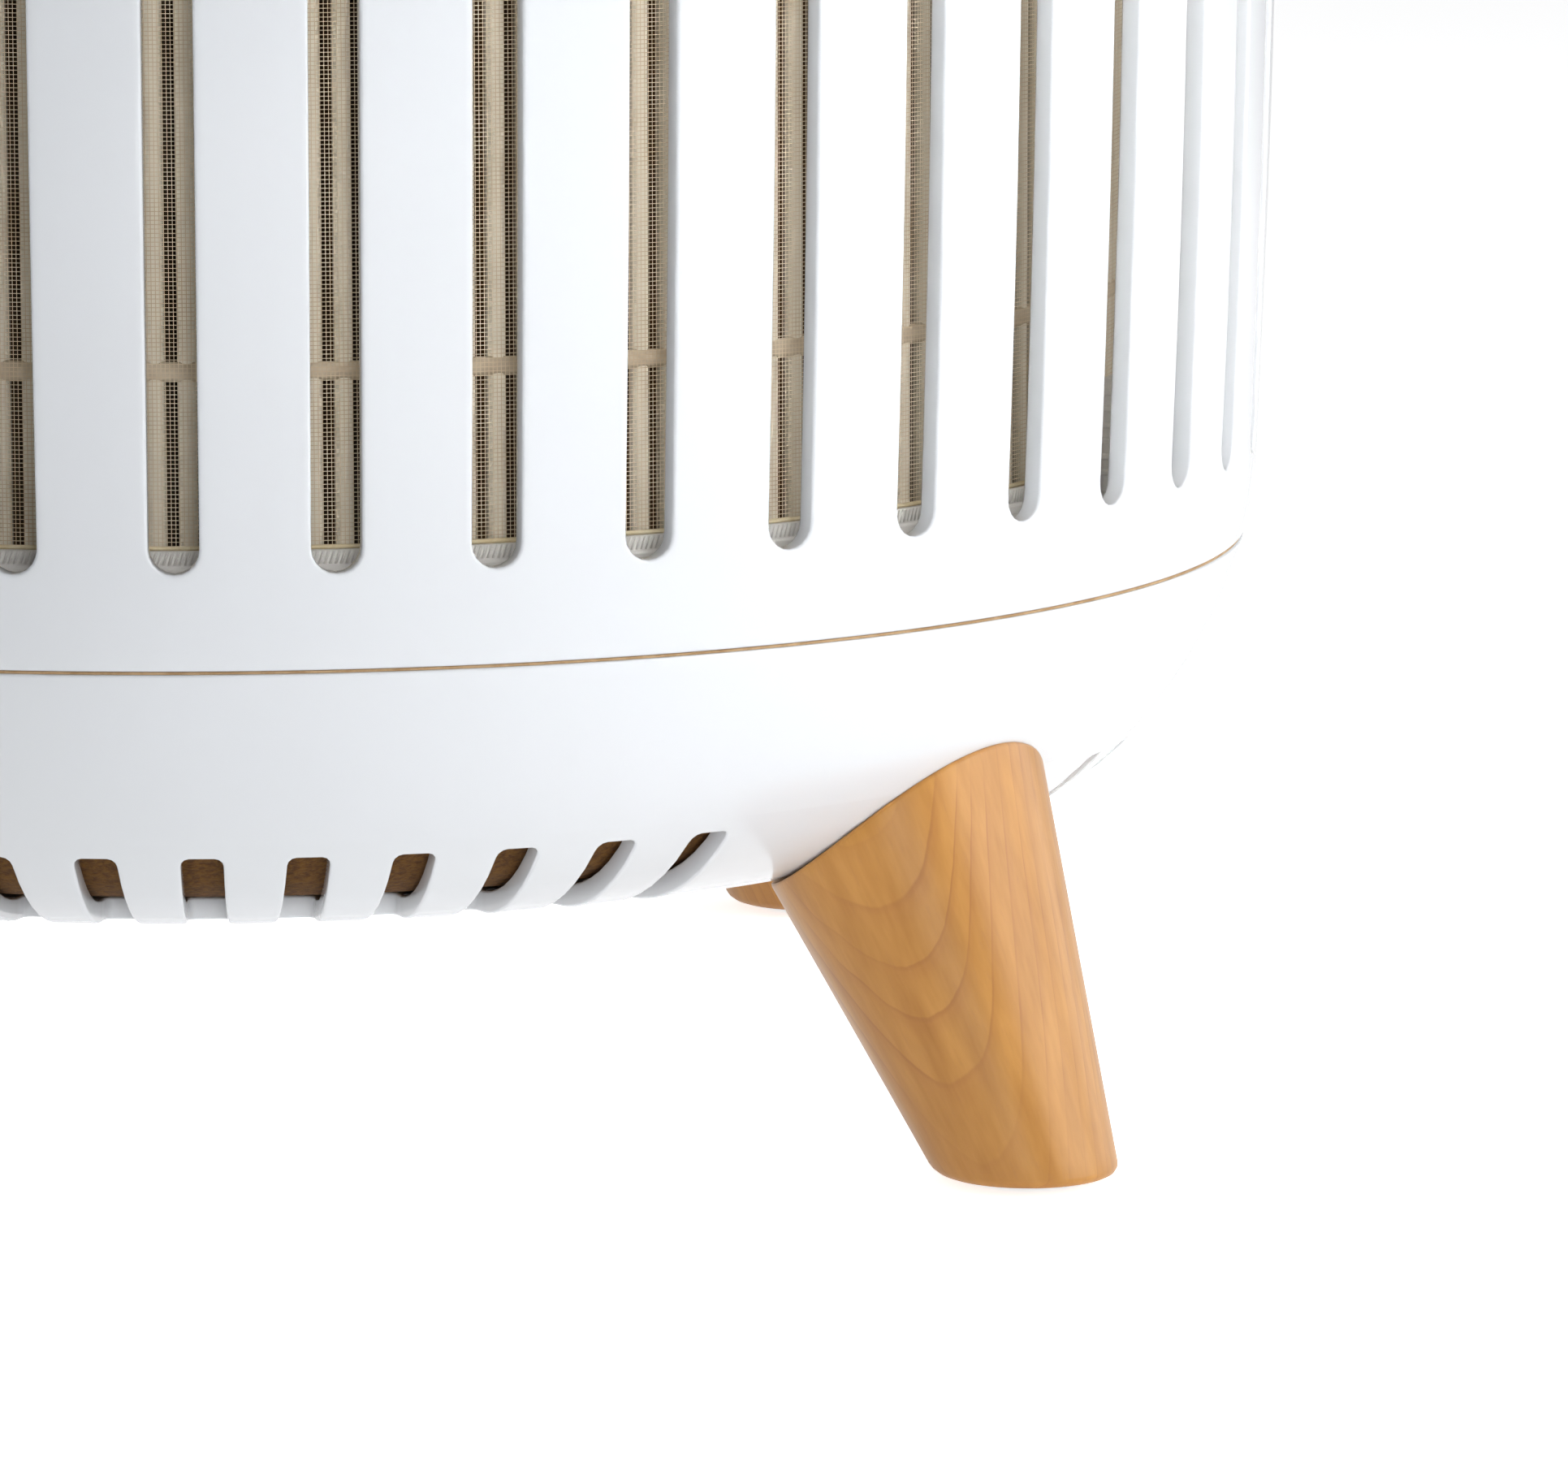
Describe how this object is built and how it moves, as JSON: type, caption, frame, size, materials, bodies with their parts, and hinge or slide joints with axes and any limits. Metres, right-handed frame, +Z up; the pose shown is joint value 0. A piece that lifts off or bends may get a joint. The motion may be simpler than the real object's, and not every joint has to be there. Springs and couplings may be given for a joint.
{
  "type": "air purifier",
  "caption": "Round white air purifier with a slotted drum around a cylindrical filter, a fan on top, and splayed tapered wooden legs under a bowl-shaped base.",
  "frame": {"origin": "on the floor, on the body's axis, between the four feet", "axes": "+Z up along the body's axis; the front faces -Y, so +X is to the right of someone facing the front"},
  "size_m": [0.2998, 0.2996, 0.3409],
  "materials": {
    "white_gloss": "high gloss",
    "grey_plastic": "satin",
    "maple": "clear satin lacquer",
    "felt_rubber": "matte",
    "steel": "satin",
    "filter_paper": "matte",
    "filter_net": "matte",
    "carbon": "matte",
    "foam": "matte",
    "black_plastic": "satin",
    "circuit_green": "satin",
    "copper": "satin",
    "light_guide": "translucent satin"
  },
  "bodies": {
    "base": {"base_bowl": "white_gloss", "filter_tray": "grey_plastic", "foot_glide_front_left": "felt_rubber", "foot_glide_front_right": "felt_rubber", "foot_glide_rear_left": "felt_rubber", "foot_glide_rear_right": "felt_rubber", "leg_bolt_front_left": "steel", "leg_bolt_front_right": "steel", "leg_bolt_rear_left": "steel", "leg_bolt_rear_right": "steel", "leg_front_left": "maple", "leg_front_right": "maple", "leg_rear_left": "maple", "leg_rear_right": "maple", "tray_screw_1": "steel", "tray_screw_2": "steel", "tray_screw_3": "steel", "tray_screw_4": "steel"},
    "filter": {"filter_net": "filter_net", "filter_pleats": "filter_paper", "carbon_sleeve": "carbon", "filter_core": "black_plastic", "filter_bottom_cap": "grey_plastic", "filter_top_cap": "grey_plastic", "filter_seal": "foam"},
    "housing": {"bearing_lower": "steel", "bearing_upper": "steel", "cap_screw_1": "steel", "cap_screw_2": "steel", "cap_screw_3": "steel", "cap_screw_4": "steel", "control_board": "circuit_green", "control_panel": "white_gloss", "dust_sensor": "black_plastic", "fan_duct": "grey_plastic", "fan_plate": "grey_plastic", "housing_shell": "white_gloss", "light_ring": "light_guide", "main_board": "circuit_green", "motor_bracket": "grey_plastic", "motor_screw_1": "steel", "motor_screw_2": "steel", "motor_screw_3": "steel", "motor_stator": "copper", "outlet_grille": "white_gloss", "power_inlet": "black_plastic", "top_cap": "white_gloss", "wire_channel": "white_gloss"},
    "fan_rotor": {"impeller": "white_gloss", "motor_rotor": "steel", "motor_shaft": "steel", "shaft_nut": "steel"},
    "power_key": {"power_button": "white_gloss"},
    "speed_key": {"speed_button": "white_gloss"},
    "timer_key": {"timer_button": "white_gloss"},
    "sleep_key": {"sleep_button": "white_gloss"}
  },
  "joints": [
    {"name": "housing_lift", "type": "slide", "parent": "base", "child": "housing", "axis": [0, 0, 1], "range_m": [0, 0.34]},
    {"name": "filter_lift", "type": "slide", "parent": "base", "child": "filter", "axis": [0, 0, 1], "range_m": [0, 0.16]},
    {"name": "fan_spin", "type": "hinge", "parent": "housing", "child": "fan_rotor", "pos_m": [0, 0, 0.3], "axis": [0, 0, 1], "continuous": true},
    {"name": "power_press", "type": "slide", "parent": "housing", "child": "power_key", "axis": [0, 0, -1], "range_m": [0, 0.0008], "stiffness_N_per_m": 1500, "springref_m": -0.0004},
    {"name": "speed_press", "type": "slide", "parent": "housing", "child": "speed_key", "axis": [0, 0, -1], "range_m": [0, 0.0008], "stiffness_N_per_m": 1500, "springref_m": -0.0004},
    {"name": "timer_press", "type": "slide", "parent": "housing", "child": "timer_key", "axis": [0, 0, -1], "range_m": [0, 0.0008], "stiffness_N_per_m": 1500, "springref_m": -0.0004},
    {"name": "sleep_press", "type": "slide", "parent": "housing", "child": "sleep_key", "axis": [0, 0, -1], "range_m": [0, 0.0008], "stiffness_N_per_m": 1500, "springref_m": -0.0004}
  ],
  "couplings": [
    {"joint": "filter_lift", "follows": "housing_lift", "ratio": 0.45}
  ]
}
